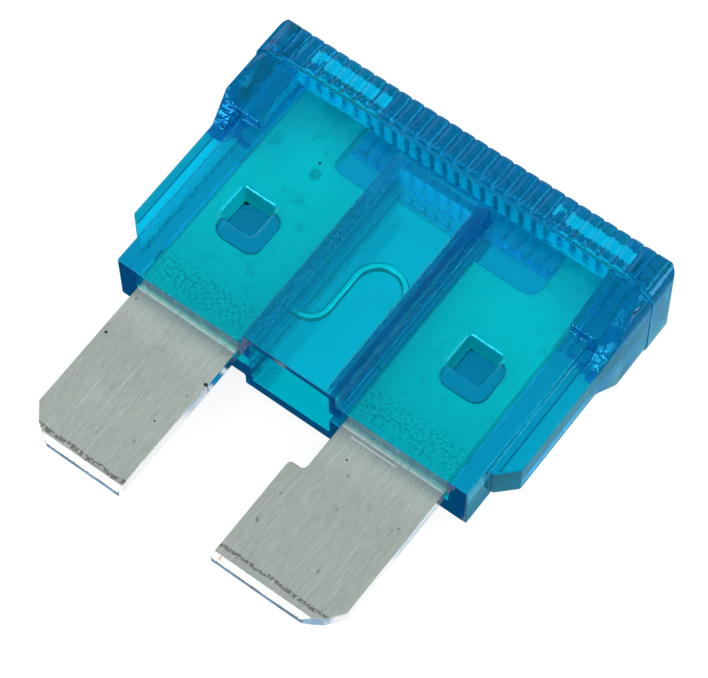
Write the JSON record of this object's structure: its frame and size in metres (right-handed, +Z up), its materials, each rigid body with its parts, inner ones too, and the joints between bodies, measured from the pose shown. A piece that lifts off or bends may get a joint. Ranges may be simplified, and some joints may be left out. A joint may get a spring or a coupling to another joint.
{
  "type": "automotive blade fuse",
  "caption": "Flat plug-in fuse with a clear moulded housing, a ribbed grip head, flat metal blades and a thin wire-like link in an open chamber.",
  "frame": {"origin": "middle of the fuse's outline, on the surface that it lies on", "axes": "+X across the width, +Y along the blades towards the ribbed head, +Z up through the thickness"},
  "size_m": [0.019, 0.0194, 0.005],
  "materials": {
    "clear_blue_plastic": "clear blue moulded plastic, glossy, with small moulding marks",
    "plated_zinc": "plated zinc sheet, drawn along the blades, with small pits and dull marks"
  },
  "bodies": {
    "root": {"housing": "clear_blue_plastic", "fuse_element": "plated_zinc"}
  },
  "joints": []
}
